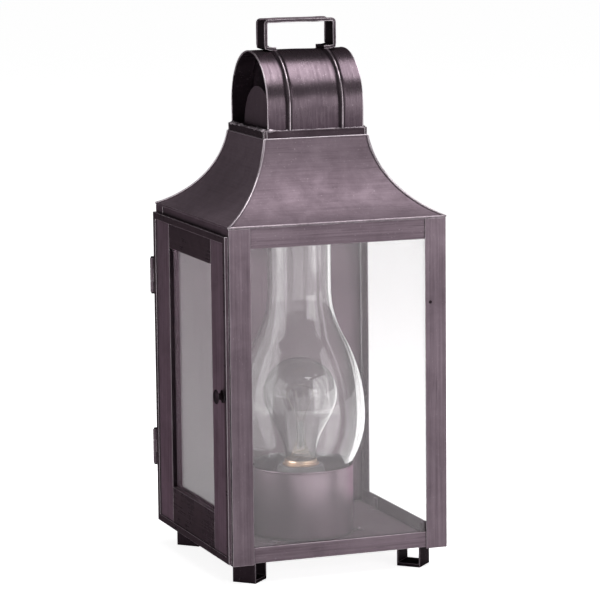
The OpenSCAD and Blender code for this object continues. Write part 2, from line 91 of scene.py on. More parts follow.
class Tree:
    """One material's node tree, with short calls for the nodes that the materials share."""

    def __init__(self, name):
        self.material = bpy.data.materials.new(name)
        self.material.use_nodes = True
        self.tree = self.material.node_tree
        self.tree.nodes.clear()
        self.coords = self.node("ShaderNodeTexCoord").outputs["Object"]

    def node(self, kind, inputs=None, **settings):
        made = self.tree.nodes.new(kind)
        for key, value in settings.items():
            setattr(made, key, value)
        for key, value in (inputs or {}).items():
            if isinstance(value, bpy.types.NodeSocket):
                self.tree.links.new(value, made.inputs[key])
            else:
                made.inputs[key].default_value = value
        return made

    def maths(self, operation, a, b=0.0):
        return self.node("ShaderNodeMath", {0: a, 1: b}, operation=operation).outputs[0]

    def stretched(self, scale):
        return self.node("ShaderNodeMapping", {"Vector": self.coords, "Scale": scale}).outputs[0]

    def noise(self, scale, detail=4.0, roughness=0.55, vector=None, distortion=0.0):
        inputs = {"Vector": vector or self.coords, "Scale": scale, "Detail": detail,
                  "Roughness": roughness, "Distortion": distortion}
        return self.node("ShaderNodeTexNoise", inputs).outputs["Fac"]

    def span(self, value, start, end, out_start=0.0, out_end=1.0):
        inputs = {"Value": value, "From Min": start, "From Max": end,
                  "To Min": out_start, "To Max": out_end}
        return self.node("ShaderNodeMapRange", inputs).outputs["Result"]

    def mix(self, factor, a, b, blend="MIX"):
        made = self.node("ShaderNodeMix", data_type="RGBA", blend_type=blend)
        for socket, value in ((made.inputs[0], factor), (made.inputs[6], a), (made.inputs[7], b)):
            if isinstance(value, bpy.types.NodeSocket):
                self.tree.links.new(value, socket)
            elif isinstance(value, tuple):
                socket.default_value = (*value, 1.0)
            else:
                socket.default_value = value
        return made.outputs[2]

    def bump(self, height, strength, distance, normal=None):
        inputs = {"Height": height, "Strength": strength, "Distance": distance}
        if normal:
            inputs["Normal"] = normal
        return self.node("ShaderNodeBump", inputs).outputs["Normal"]

    def surface(self, shader):
        self.tree.links.new(shader, self.node("ShaderNodeOutputMaterial").inputs["Surface"])
        return self.material

    def principled(self, **inputs):
        named = {key.replace("_", " ").title().replace("Ior", "IOR"): value
                 for key, value in inputs.items()}
        return self.node("ShaderNodeBsdfPrincipled", named).outputs["BSDF"]


# Near-black used for painted shade on the hood.
PAINTED_SHADE_BLACK = (0.020, 0.013, 0.018)
GRAZING_TINT = (0.30, 0.17, 0.25, 1)  # the purple that dark patina shows at a low angle
# Noise scale across and along the brushing.
STREAKS, SCRATCHES = (520.0, 9.0), (900.0, 24.0)
HOOD_STREAKS, HOOD_SCRATCHES = (520.0, 1.3), (1000.0, 2.2)


def edge_mask(t, radius):
    """1 along corners and 0 on the flats: how far a rounded normal leans from the true one."""
    rounded = t.node("ShaderNodeBevel", {"Radius": radius}, samples=4).outputs["Normal"]
    true = t.node("ShaderNodeNewGeometry").outputs["Normal"]
    lean = t.node("ShaderNodeVectorMath", {0: rounded, 1: true}, operation="DOT_PRODUCT").outputs["Value"]
    return t.span(lean, 0.985, 0.80)


def hood_coords(t, across, along):
    """Coordinates that run round the hood's arch, so that streaks follow the bend."""
    xyz = t.node("ShaderNodeSeparateXYZ", {0: t.coords})
    height = t.maths("SUBTRACT", xyz.outputs[2], hood_z)
    angle = t.maths("ARCTAN2", height, xyz.outputs[1])
    inputs = {0: t.maths("MULTIPLY", xyz.outputs[0], across), 1: t.maths("MULTIPLY", angle, along)}
    return t.node("ShaderNodeCombineXYZ", inputs).outputs[0]


def brushed(t, grain, across, along):
    """Coordinates stretched along the brushing, which runs along one axis or round the hood's arch."""
    if grain == "hood":
        return hood_coords(t, across, along)
    return t.stretched([along if axis == grain else across for axis in "xyz"])


def hood_highlight_and_shade(t, colour, light):
    """Painted highlight: a pale line along the ribs' crests. Painted shade: darker in a band on each side of
    the ribs and towards the hood's foot.
    """
    xyz = t.node("ShaderNodeSeparateXYZ", {0: t.coords}).outputs
    from_rib = t.maths("ABSOLUTE", t.maths("SUBTRACT", t.maths("ABSOLUTE", xyz[0]), bead_x))
    crest_highlight = t.maths("MULTIPLY", t.span(from_rib, 1.2 * MM, 0.1 * MM),
                    t.span(t.noise(120.0, 3.0), 0.3, 0.6, 0.05, 0.60))
    valley_shade = t.maths("MULTIPLY", t.span(from_rib, 2.0 * MM, 2.7 * MM),
                     t.span(from_rib, 3.8 * MM, 2.9 * MM))
    painted_shade = t.maths("MAXIMUM", t.span(xyz[2], hood_z + 7 * MM, plate_z, 0.0, 0.75),
                   t.maths("MULTIPLY", valley_shade, 0.6))
    colour = t.mix(painted_shade, colour, PAINTED_SHADE_BLACK)
    return t.mix(crest_highlight, colour, light)


def patina(name, dark, mid, light, grain="z", rough=0.44, metallic=0.8, wear_and_highlight_amount=1.0, blotch=26.0, streak=0.6,
           crevice_shade=0.75, bumpy=1.0):
    """Aged sheet metal: mottled patches, brushed streaks, specks, scratches, pale edges that are partly wear
    and partly a painted highlight, and painted shade in crevices.
    """
    t = Tree(name)
    on_hood = grain == "hood"
    streak_vector = brushed(t, grain, *(HOOD_STREAKS if on_hood else STREAKS))
    scratch_vector = brushed(t, grain, *(HOOD_SCRATCHES if on_hood else SCRATCHES))
    patches = t.span(t.noise(blotch, 6.0, 0.62, distortion=0.6), 0.36, 0.66)
    clouds = t.span(t.noise(blotch * 0.28, 2.0, 0.5), 0.3, 0.7)
    streaks = t.span(t.noise(1.0, 4.0, 0.65, streak_vector), 0.30, 0.72)
    specks = t.span(t.noise(900.0, 2.0, 0.5), 0.66, 0.80)
    tone = t.maths("ADD", t.maths("MULTIPLY", patches, 1.0 - streak), t.maths("MULTIPLY", streaks, streak))
    tone = t.maths("ADD", t.maths("MULTIPLY", tone, 0.75), t.maths("MULTIPLY", clouds, 0.25))
    colour = t.mix(tone, dark, mid)
    colour = t.mix(t.maths("MULTIPLY", specks, 0.35), colour, light)
    scratches = t.maths("MULTIPLY", t.span(t.noise(1.0, 3.0, 0.7, scratch_vector), 0.57, 0.70),
                        t.span(t.noise(30.0, 3.0), 0.40, 0.62, 0.0, 0.75 * streak))
    colour = t.mix(scratches, colour, tuple(c * 0.30 for c in dark))
    # Painted shade: the colour darkens in crevices and corners, where the ambient-occlusion node finds shade.
    shade = t.node("ShaderNodeAmbientOcclusion", {"Distance": 5 * MM}, samples=4).outputs["AO"]
    painted_crevice_shade = t.span(shade, 0.35, 0.85, crevice_shade, 0.0)
    colour = t.mix(painted_crevice_shade, colour, tuple(c * 0.18 for c in dark))
    # Pale edges: partly real wear, partly a painted highlight along every corner.
    wear_and_highlight = t.maths("MULTIPLY", edge_mask(t, 0.9 * MM), t.span(t.noise(140.0, 3.0), 0.34, 0.56, 0.35, 1.0))
    wear_and_highlight = t.maths("MULTIPLY", wear_and_highlight, wear_and_highlight_amount)
    colour = t.mix(wear_and_highlight, colour, light)
    # The hood's ribs take a painted highlight, and their sides and the hood's foot take painted shade.
    if on_hood:
        colour = hood_highlight_and_shade(t, colour, light)
    roughness = t.maths("ADD", t.span(tone, 0.0, 1.0, rough + 0.08, rough - 0.05),
                        t.maths("MULTIPLY", wear_and_highlight, -0.10))
    dents = t.bump(t.noise(34.0, 2.0), 0.20 * bumpy, 1.2 * MM)
    grainy = t.bump(streaks, 0.12 * bumpy, 0.10 * MM, dents)
    return t.surface(t.principled(base_color=colour, metallic=metallic, roughness=roughness, normal=grainy,
                                  specular_tint=GRAZING_TINT))


def solder():
    """Tinned solder left rough: pale, lumpy and a little dirty."""
    t = Tree("solder")
    lumps = t.noise(420.0, 5.0, 0.6)
    dirt = t.span(t.noise(160.0, 4.0), 0.38, 0.62)
    colour = t.mix(dirt, (0.14, 0.11, 0.13), (0.50, 0.44, 0.48))
    rough = t.span(lumps, 0.3, 0.7, 0.58, 0.34)
    return t.surface(t.principled(base_color=colour, metallic=0.6, roughness=rough,
                                  normal=t.bump(lumps, 0.7, 0.5 * MM)))


def lamp_clear(t, glass):
    """Lets lamps shine through glass, so that what stands inside is lit."""
    shadow = t.node("ShaderNodeLightPath").outputs["Is Shadow Ray"]
    clear = t.node("ShaderNodeBsdfTransparent", {"Color": (0.95, 0.95, 0.95, 1)}).outputs[0]
    mixed = t.node("ShaderNodeMixShader", {0: shadow, 1: glass, 2: clear}).outputs[0]
    return t.surface(mixed)


def hazy_glass(name, haze, dust_colour, rough=0.02, streaks=True):
    """Clear glass under a thin film of dust that lies in soft wiped streaks."""
    t = Tree(name)
    film = t.span(t.noise(9.0, 4.0, 0.6, t.stretched((1, 1, 0.35))), 0.3, 0.7, haze * 0.7, haze * 1.25)
    if streaks:
        wiped = t.noise(1.0, 3.0, 0.6, t.stretched((160, 160, 5)))
        film = t.maths("MULTIPLY", film, t.span(wiped, 0.3, 0.7, 0.85, 1.15))
    waves = t.bump(t.noise(11.0, 1.0), 0.05, 1.0 * MM)
    glass = t.principled(base_color=(1, 1, 1, 1), roughness=rough, transmission_weight=1.0, ior=1.46,
                         normal=waves)
    dust = t.principled(base_color=(*dust_colour, 1), roughness=0.9)
    mixed = t.node("ShaderNodeMixShader", {0: film, 1: glass, 2: dust}).outputs[0]
    return lamp_clear(t, mixed)


def clear_glass(name, haze):
    return hazy_glass(name, haze, (0.75, 0.74, 0.74), rough=0.0, streaks=False)


def warm_metal(name, bright, dull, rough):
    """Brass or copper with fine turning marks and tarnish."""
    t = Tree(name)
    tarnish = t.span(t.noise(120.0, 4.0, 0.6), 0.35, 0.65)
    turned = t.noise(1.0, 2.0, 0.5, t.stretched((60, 60, 1500)))
    colour = t.mix(tarnish, dull, bright)
    roughness = t.span(turned, 0.3, 0.7, rough - 0.06, rough + 0.1)
    return t.surface(t.principled(base_color=colour, metallic=0.9, roughness=roughness,
                                  normal=t.bump(turned, 0.1, 0.05 * MM)))


def moulding():
    """Dark grey moulded plastic with a faint grain."""
    t = Tree("lampholder_moulding")
    grain = t.noise(1200.0, 2.0)
    dust = t.span(t.noise(60.0, 4.0), 0.4, 0.7, 0.0, 0.5)
    colour = t.mix(dust, (0.10, 0.095, 0.10), (0.22, 0.20, 0.205))
    return t.surface(t.principled(base_color=colour, roughness=t.span(grain, 0.3, 0.7, 0.5, 0.65),
                                  normal=t.bump(grain, 0.15, 0.05 * MM)))


DARK = (0.072, 0.052, 0.064)
MID = (0.190, 0.148, 0.173)
PALE = (0.50, 0.43, 0.47)
ROOF_DARK = (0.105, 0.079, 0.094)
ROOF_MID = (0.175, 0.136, 0.159)
FINISH = {
    "upright": patina("patina_upright", DARK, MID, PALE, "z"),
    "level_x": patina("patina_level_x", DARK, MID, PALE, "x", streak=0.7),
    "level_y": patina("patina_level_y", DARK, MID, PALE, "y", streak=0.6),
    "roof_x": patina("patina_roof_x", ROOF_DARK, ROOF_MID, PALE, "x", rough=0.55, metallic=0.6,
                     streak=0.45, blotch=70),
    "roof_y": patina("patina_roof_y", ROOF_DARK, ROOF_MID, PALE, "y", rough=0.55, metallic=0.6,
                     streak=0.45, blotch=70),
    "hood": patina("patina_hood", (0.038, 0.027, 0.034), (0.118, 0.092, 0.107), PALE, "hood", rough=0.27,
                   metallic=0.85, streak=0.6, blotch=45),
    # Painted shade: the hood's inner side is near-black.
    "hood_inside_shade": patina("hood_inside_painted_shade", PAINTED_SHADE_BLACK, (0.045, 0.032, 0.040), PALE, "x", rough=0.6,
                          wear_and_highlight_amount=0.0, streak=0.3),
    "collar": patina("patina_collar", (0.022, 0.015, 0.019), (0.062, 0.046, 0.055), PALE, "x", rough=0.5,
                     blotch=60),
    "door_rail": patina("patina_door_rail", (0.040, 0.028, 0.035), (0.090, 0.067, 0.080), PALE, "y",
                        streak=0.4, crevice_shade=0.25),
    # Painted light: a brighter copy of the upright finish for the door's stiles on the shaded side.
    "stile": patina("patina_stile_painted_light", (0.080, 0.057, 0.071), (0.270, 0.208, 0.243), PALE, "z"),
    # Painted light: a paler finish for the upward faces of the door's ledge.
    "ledge": patina("patina_ledge_painted_light", (0.15, 0.120, 0.137), (0.25, 0.208, 0.232), PALE, "y", streak=0.3,
                    crevice_shade=0.0),
    "plain": patina("patina_plain", DARK, MID, PALE, "x", rough=0.5, streak=0.2),
    "baffle": patina("patina_baffle", (0.060, 0.044, 0.054), (0.105, 0.080, 0.095), PALE, "z", rough=0.6,
                     wear_and_highlight_amount=0.2, streak=0.2),
    "inside": patina("patina_inside", (0.135, 0.098, 0.118), (0.200, 0.150, 0.178), PALE, "z", rough=0.5,
                     streak=0.2, wear_and_highlight_amount=0.3, blotch=14, bumpy=0.2),
    "cup": patina("patina_cup", (0.21, 0.158, 0.187), (0.29, 0.228, 0.262), PALE, "z", rough=0.34,
                  metallic=0.85, streak=0.2, wear_and_highlight_amount=0.6, blotch=14, bumpy=0.15),
    "black": patina("blackened", (0.012, 0.008, 0.010), (0.032, 0.022, 0.028), (0.30, 0.26, 0.28), "z",
                    rough=0.5, wear_and_highlight_amount=0.55, streak=0.3),
    # The feet's pale rounded edges: partly wear, partly a painted highlight.
    "foot_edge": patina("blackened_worn_and_highlit_edge", (0.020, 0.014, 0.018), (0.14, 0.113, 0.129), (0.45, 0.40, 0.43),
                        "z", rough=0.4, blotch=110, crevice_shade=0.3),
    "hem": patina("blackened_hem", (0.020, 0.014, 0.018), (0.085, 0.067, 0.078), (0.45, 0.40, 0.43), "x",
                  rough=0.34, streak=0.5, blotch=90),
    # Pale edge finishes: partly wear, partly a painted highlight.
    "edge": patina("worn_and_highlit_edge", (0.22, 0.185, 0.205), (0.46, 0.405, 0.44), (0.66, 0.61, 0.64), "z",
                   rough=0.34, metallic=0.7, blotch=120, crevice_shade=0.3),
    "soft_edge": patina("worn_and_highlit_soft_edge", (0.10, 0.078, 0.091), (0.31, 0.262, 0.289), (0.55, 0.50, 0.53),
                        "z", rough=0.38, metallic=0.65, blotch=90, crevice_shade=0.5),
    "solder": solder(),
    "pane": hazy_glass("window_glass", 0.035, (0.62, 0.50, 0.57)),
    "door_pane": hazy_glass("door_window_glass", 0.17, (0.27, 0.175, 0.230)),
    "chimney": clear_glass("chimney_clear_glass", 0.035),
    "bulb": clear_glass("bulb_clear_glass", 0.015),
    "stem": clear_glass("stem_clear_glass", 0.10),
    "brass": warm_metal("aged_brass", (0.62, 0.42, 0.24), (0.25, 0.16, 0.10), 0.36),
    "cap": warm_metal("bulb_cap_metal", (0.92, 0.72, 0.56), (0.66, 0.47, 0.34), 0.34),
    "wire": warm_metal("lead_wire", (0.45, 0.40, 0.38), (0.20, 0.17, 0.16), 0.35),
    "moulding": moulding(),
}

# ------------------------------------------------------------ mesh helpers


def piece(name, bm, finish, body, stands_for=(), smooth_angle=SMOOTH_ANGLE, second=None):
    """Turns a bmesh into a piece: smooth shading with sharp corners kept, a finish, and the body it rides.

    Faces with material index 1 take the second finish.
    """
    bmesh.ops.recalc_face_normals(bm, faces=bm.faces)
    for face in bm.faces:
        face.smooth = True
    for edge in bm.edges:
        edge.smooth = len(edge.link_faces) == 2 and edge.calc_face_angle(0) < math.radians(smooth_angle)
    mesh = bpy.data.meshes.new(name)
    bm.to_mesh(mesh)
    bm.free()
    obj = bpy.data.objects.new(name, mesh)
    bpy.context.scene.collection.objects.link(obj)
    mesh.materials.append(FINISH[finish])
    if second:
        mesh.materials.append(FINISH[second])
    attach(obj, body)
    if stands_for:
        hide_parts(*stands_for)
    return obj


def weighted(obj):
    """Keeps large flats flat beside their rounded corners."""
    obj.modifiers.new("normals", "WEIGHTED_NORMAL").keep_sharp = True
    return obj


def rounded(node, finish, radius, segments=2, wear_and_highlight=None):
    """A CAD node's own shape, its corners rounded over and given the pale edge finish, partly wear and partly
    a painted highlight, if there is one.
    """
    bm = bmesh.new()
    bm.from_mesh(NODES[node].data)
    bmesh.ops.remove_doubles(bm, verts=bm.verts, dist=1e-6)
    flat, corner = math.radians(0.8), math.radians(40)
    bmesh.ops.dissolve_limit(bm, angle_limit=flat, verts=bm.verts, edges=bm.edges)
    corners = [e for e in bm.edges if len(e.link_faces) == 2 and e.calc_face_angle(0) > corner]
    bmesh.ops.bevel(bm, geom=corners, offset=radius, offset_type="OFFSET", segments=segments, profile=0.5,
                    affect="EDGES", clamp_overlap=True, material=1 if wear_and_highlight else -1)
    return weighted(piece(node + "_sheet", bm, finish, BODY_OF[node], [node], 50, wear_and_highlight))


def repaint(obj, finish, chosen):
    """Gives another finish to the faces that the test picks, by centre and normal."""
    obj.data.materials.append(FINISH[finish])
    for face in obj.data.polygons:
        if chosen(face.center, face.normal):
            face.material_index = len(obj.data.materials) - 1


def grid_faces(bm, rows, wrap_rows=False, wrap_columns=False):
    """Faces between equal rows of vertices."""
    count = len(rows)
    for i in range(count if wrap_rows else count - 1):
        a, b = rows[i], rows[(i + 1) % count]
        for j in range(len(a) if wrap_columns else len(a) - 1):
            k = (j + 1) % len(a)
            bm.faces.new((a[j], a[k], b[k], b[j]))


def join_skins(bm, outer, inner):
    """Closes the gap between two equal grids of vertices all round their edge."""
    for a, b in ((outer[0], inner[0]), (outer[-1], inner[-1]),
                 ([row[0] for row in outer], [row[0] for row in inner]),
                 ([row[-1] for row in outer], [row[-1] for row in inner])):
        grid_faces(bm, [a, b])


def turned(name, outline, finish, body, stands_for=(), place=Matrix.Identity(4), steps=96, closed=True,
           shape=None, smooth_angle=SMOOTH_ANGLE):
    """A turned piece: an outline of (radius, height) pairs swept round the vertical, then placed."""
    bm = bmesh.new()
    rows = []
    for i in range(steps):
        angle = 2 * math.pi * i / steps
        row = []
        for r, z in outline:
            if shape:
                r = shape(r, z, angle)
            row.append(bm.verts.new(place @ Vector((r * math.cos(angle), r * math.sin(angle), z))))
        rows.append(row)
    grid_faces(bm, rows, wrap_rows=True, wrap_columns=closed)
    bmesh.ops.remove_doubles(bm, verts=bm.verts, dist=1e-7)
    return piece(name, bm, finish, body, stands_for, smooth_angle)


def frames_along(path, up, closed):
    """At each point of a path: the point, the side direction and the up direction across it."""
    count = len(path)
    for i, p in enumerate(path):
        before = path[(i - 1) % count] if closed or i else path[i]
        after = path[(i + 1) % count] if closed or i < count - 1 else path[i]
        ahead = (after - before).normalized()
        side = ahead.cross(up).normalized()
        yield p, side, side.cross(ahead).normalized()


def swept(name, path, section, finish, body, stands_for=(), up=Vector((0, 0, 1)), closed=False,
          smooth_angle=SMOOTH_ANGLE):
    """A section of (side, up) pairs, or a function of the step that gives one, swept along a path."""
    bm = bmesh.new()
    rows = []
    for i, (p, side, over) in enumerate(frames_along(path, up, closed)):
        pairs = section(i) if callable(section) else section
        rows.append([bm.verts.new(p + side * s + over * u) for s, u in pairs])
    grid_faces(bm, rows, wrap_rows=closed, wrap_columns=True)
    if not closed:
        bm.faces.new(rows[0])
        bm.faces.new(rows[-1])
    return piece(name, bm, finish, body, stands_for, smooth_angle)


def ring(radius, count=10, squash=1.0):
    """A round or flattened section."""
    return [(radius * math.cos(2 * math.pi * i / count), squash * radius * math.sin(2 * math.pi * i / count))
            for i in range(count)]


def straight(a, b, step=4 * MM):
    """Even points from one place to another."""
    a, b = Vector(a), Vector(b)
    count = max(1, round((b - a).length / step))
    return [a.lerp(b, i / count) for i in range(count + 1)]


def wander(p, scale, size, seed=0.0):
    """A smooth random offset at a point, the same each run."""
    return size * noise.noise(Vector(p) * scale + Vector((seed, seed * 1.7, seed * 2.3)))


# ------------------------------------------------------------ body sheets

for node in ("front_left_post", "front_right_post", "rear_left_post", "rear_right_post"):
    rounded(node, "upright", 0.45 * MM, wear_and_highlight="soft_edge")
for node in ("front_top_rail", "front_bottom_rail"):
    rounded(node, "level_x", 0.35 * MM, wear_and_highlight="soft_edge")
for node in ("right_top_rail", "right_bottom_rail", "left_header", "left_sill"):
    rounded(node, "level_y", 0.35 * MM, wear_and_highlight="soft_edge")
rounded("base_pan", "inside", 0.2 * MM)
rounded("back_panel", "inside", 0.2 * MM)
rounded("vent_baffles", "baffle", 0.2 * MM)
for node in ("glass_clips", "cup_tabs", "chimney_seat"):
    rounded(node, "plain", 0.15 * MM)
for node in ("foot_rivets", "cup_rivets", "handle_rivets"):
    rounded(node, "plain", 0.1 * MM)
for node in ("front_left_foot", "front_right_foot", "rear_left_foot", "rear_right_foot"):
    rounded(node, "black", 0.45 * MM, 3, wear_and_highlight="foot_edge")

# ------------------------------------------------------------ roof

sag = 10 * MM  # how far the curved slope hangs below a straight one
eave_point = Vector((half, eave_z + 0.8 * MM))
collar_point = Vector((collar_half, collar_z))
chord = (eave_point - collar_point).length
roof_r = (chord * chord / 4 + sag * sag) / (2 * sag)
slope_normal = Vector((eave_point.y - collar_point.y, collar_point.x - eave_point.x)) / chord
roof_c = (eave_point + collar_point) / 2 - slope_normal * (roof_r - sag)


def roof_profile(count, inset=0.0):
    """(half width, height) from the eave up to the collar, inset towards the inside of the roof."""
    start = math.atan2(eave_point.y - roof_c.y, eave_point.x - roof_c.x)
    end = math.atan2(collar_point.y - roof_c.y, collar_point.x - roof_c.x)
    if start - end > math.pi:
        end += 2 * math.pi
    if end - start > math.pi:
        end -= 2 * math.pi
    found = []
    for i in range(count + 1):
        a = start + (end - start) * i / count
        found.append(roof_c + Vector((math.cos(a), math.sin(a))) * (roof_r + inset))
    return found


def quarter(index):
    """A turn about the upright axis: 0 for the front, 1 the right, 2 the rear, 3 or -1 the left."""
    return Matrix.Rotation(index * math.pi / 2, 4, "Z")


def roof_panel(name, node, place, finish):
    """One curved panel: outer and inner skins joined round the edge, with soft hand-beaten unevenness."""
    bm = bmesh.new()
    across, along = 44, 34
    out_of_roof = Vector((0, -0.6, 0.8))
    skins = []
    for inset in (0.0, sheet_t):
        rows = []
        for i, (h, z) in enumerate(roof_profile(along, inset)):
            row = []
            for j in range(across + 1):
                s = 2 * j / across - 1
                p = place @ Vector((s * h, -h, z))
                fade = min(1.0, 4 * (1 - abs(s))) * min(1.0, 6 * i / along, 6 * (along - i) / along)
                lift = fade * (wander(p, 22, 0.9 * MM) + wander(p, 60, 0.30 * MM, 5))
                row.append(bm.verts.new(p + place @ out_of_roof * lift))
            rows.append(row)
        grid_faces(bm, rows)
        skins.append(rows)
    join_skins(bm, *skins)
    return piece(name, bm, finish, "lantern", [node], 60)


for index, word, finish in ((0, "front", "roof_x"), (1, "right", "roof_y"), (2, "rear", "roof_x"),
                            (-1, "left", "roof_y")):
    roof_panel(f"roof_{word}_panel", f"roof_{word}", quarter(index), finish)

for index in range(4):
    place = quarter(index)
    path = [place @ Vector((h, -h, z)) for h, z in roof_profile(48, -0.2 * MM)]
    swept(f"hip_seam_{index + 1}", path,
          lambda i, p=path: ring(1.05 * MM + wander(p[i], 90, 0.22 * MM, 3), 12, 0.85),
          "edge", "lantern", ["hip_seams"], up=place @ Vector((1, -1, 1.2)))

lip_half = half - 0.55 * MM
lip_z = eave_z + 0.85 * MM
# Painted shade: the left lip takes the plain finish, darker than the pale edge on the other three sides.
for index, finish in enumerate(("soft_edge", "soft_edge", "soft_edge", "plain")):
    place = quarter(index)
    path = straight(place @ Vector((-lip_half, -lip_half, lip_z)),
                    place @ Vector((lip_half, -lip_half, lip_z)))
    swept(f"eave_lip_{index + 1}", path,
          lambda i, p=path: ring(0.75 * MM + wander(p[i], 60, 0.10 * MM), 10, 1.1), finish, "lantern")

# ------------------------------------------------------------ collar


def square_loop(h, z, step):
    """Even points round a level square of half width h."""
    corners = [(-h, -h, z), (h, -h, z), (h, h, z), (-h, h, z)]
    found = []
    for i in range(4):
        found += straight(corners[i], corners[(i + 1) % 4], step)[:-1]
    return found


rounded("roof_collar", "collar", 0.4 * MM, wear_and_highlight="soft_edge")
foot_loop = square_loop(collar_half + 0.05 * MM, collar_z + 0.25 * MM, 5 * MM)
swept("collar_foot_bead", foot_loop, lambda i: ring(0.55 * MM + wander(foot_loop[i], 80, 0.12 * MM), 10),
      "edge", "lantern", closed=True)
for index in range(4):
    place = quarter(index)
    for side, letter in ((-1, "a"), (1, "b")):
        x = side * (collar_half - 2.0 * MM)
        path = straight(place @ Vector((x, -collar_half, collar_z + 0.4 * MM)),
                        place @ Vector((x, -collar_half, plate_z - 0.5 * MM)), 1.5 * MM)
        swept(f"collar_fold_{index + 1}{letter}", path, ring(0.32 * MM, 8), "edge", "lantern",
              up=place @ Vector((1, 0, 0)))


def solder_run(name, start, end, size, seed, flat=0.55):
    """A lumpy run of solder on the plate, between two (x, y) places in millimetres."""
    path = straight(*((x * MM, y * MM, plate_z + 0.1 * MM) for x, y in (start, end)), 0.8 * MM)
    last = len(path) - 1

    def section(i):
        ends = min(1.0, i / 2, (last - i) / 2)
        return ring(size * (0.35 + 0.65 * ends) * (1 + wander(path[i], 260, 1.1, seed)), 12, flat)

    swept(name, path, section, "solder", "lantern")


solder_run("solder_left_ledge", (-41.2, 36), (-40.9, -40), 1.7 * MM, 2)
solder_run("solder_front_left", (-41, -41.6), (-29, -42.2), 1.3 * MM, 9, 0.8)
solder_run("solder_right_ledge", (41, 40), (41, -40), 1.0 * MM, 14)
solder_run("solder_front_foot", (-28, -42.3), (39, -42.3), 0.45 * MM, 21)
solder_run("solder_rear_foot", (-39, 42.3), (39, 42.3), 0.55 * MM, 25)

# ------------------------------------------------------------ vent hood


def bead_lift(x):
    """How far the swaged ribs stand out at x."""
    height, width = 1.6 * MM, 1.7 * MM
    return sum(height * math.exp(-(((x - side * bead_x) / width) ** 2)) for side in (-1, 1))


def hood_point(x, s, inset):
    """A point on the hood: s runs from 0 at the front foot over the crown to 1 at the rear foot."""
    straight_share = 0.14
    lift = bead_lift(x) - inset
    if s < straight_share:
        return Vector((x, -hood_r - lift, plate_z + (hood_z - plate_z) * s / straight_share))
    if s > 1 - straight_share:
        return Vector((x, hood_r + lift, plate_z + (hood_z - plate_z) * (1 - s) / straight_share))
    a = math.pi * (s - straight_share) / (1 - 2 * straight_share)
    return Vector((x, -(hood_r + lift) * math.cos(a), hood_z + (hood_r + lift) * math.sin(a)))


def hood():
    """The arched sheet, with its two ribs and a soft unevenness, and painted shade on its inner side."""
    bm = bmesh.new()
    columns, rows_round = 132, 120
    skins = []
    for inset in (0.0, sheet_t):
        rows = []
        for j in range(rows_round + 1):
            row = []
            for i in range(columns + 1):
                x = (2 * i / columns - 1) * hood_half
                p = hood_point(x, j / rows_round, inset)
                away = Vector((0, p.y, p.z - hood_z)).normalized()
                held = min(1.0, 8 * j / rows_round, 8 * (rows_round - j) / rows_round)
                row.append(bm.verts.new(p + away * held * wander(p, 38, 0.45 * MM, 7)))
            rows.append(row)
        before = len(bm.faces)
        grid_faces(bm, rows)
        bm.faces.ensure_lookup_table()
        for face in bm.faces[before:]:
            face.material_index = len(skins)
        skins.append(rows)
    join_skins(bm, *skins)
    piece("vent_hood_shell", bm, "hood", "lantern", ["vent_hood"], 60, "hood_inside_shade")


hood()
for side, word in ((-1, "left"), (1, "right")):
    rim = [hood_point(side * (hood_half - 0.4 * MM), j / 90, sheet_t / 2) for j in range(91)]
    swept(f"hood_{word}_rim", rim, lambda i, p=rim: ring(0.62 * MM + wander(p[i], 90, 0.10 * MM), 10),
          "edge", "lantern", up=Vector((1, 0, 0)))

# ------------------------------------------------------------ handle


def handle_path():
    """The strap's middle line: a tab, a leg, the grip, the other leg and its tab, with tight bends."""
    inner = handle_half - 3 * MM
    tab = 7 * MM
    bend = 2.2 * MM
    tab_z = hood_top + 1.1 * MM
    mid = handle_half - 1.5 * MM
    top = handle_top - 1.5 * MM

    def corner(centre, start, end):
        return [centre + bend * Vector((math.cos(a), 0, math.sin(a)))
                for a in (math.radians(start + (end - start) * k / 5) for k in range(6))]

    tab_bend = bend * 0.2
    leg_z = tab_z + 1.0 * MM
    path = straight((-inner + tab, 0, tab_z), (-inner + tab_bend, 0, tab_z), 1.5 * MM)[:-1]
    path += straight((-mid, 0, leg_z), (-mid, 0, top - bend), 2 * MM)[:-1]
    path += corner(Vector((-mid + bend, 0, top - bend)), 180, 90)
    path += straight((-mid + bend, 0, top), (mid - bend, 0, top), 2 * MM)[1:-1]
    path += corner(Vector((mid - bend, 0, top - bend)), 90, 0)
    path += straight((mid, 0, top - bend), (mid, 0, leg_z), 2 * MM)[1:]
    path += straight((inner - tab_bend, 0, tab_z), (inner - tab, 0, tab_z), 1.5 * MM)[1:]
    return [p + Vector((wander(p, 45, 0.45 * MM, 1), 0, wander(p, 40, 0.45 * MM, 4))) for p in path]


def handle():
    """Two rounded hems along one line, thin pale lines on them that are partly wear and partly a painted
    highlight, and the thin web between them.
    """
    path = handle_path()
    hem = 1.45 * MM
    wide = handle_deep - hem
    across = Vector((0, 1, 0))
    for side, word in ((-1, "front"), (1, "rear")):
        line = [p + Vector((0, side * (wide + wander(p, 60, 0.3 * MM, 8 + side)), 0)) for p in path]
        swept(f"handle_{word}_hem", line, lambda i, q=line: ring(hem * (1 + wander(q[i], 110, 0.16, 6)), 12),
              "hem", "lantern", up=across)
        # Pale lines along each hem: partly wear, partly a painted highlight.
        for out, line_word, finish in ((-1, "inner", "edge"), (1, "outer", "soft_edge")):
            x, y = out * 0.95 * MM, side * 0.95 * MM
            swept(f"handle_{word}_{line_word}_line", line, [(x + s, y + u) for s, u in ring(0.42 * MM, 8)],
                  finish, "lantern", up=across)
    web_low, web_high = -0.75 * MM, 0.45 * MM
    web = [(web_low, -wide), (web_high, -wide), (web_high, wide), (web_low, wide)]
    swept("handle_web", path, web, "black", "lantern", ["handle"], up=across)


handle()

# ------------------------------------------------------------ panes of glass


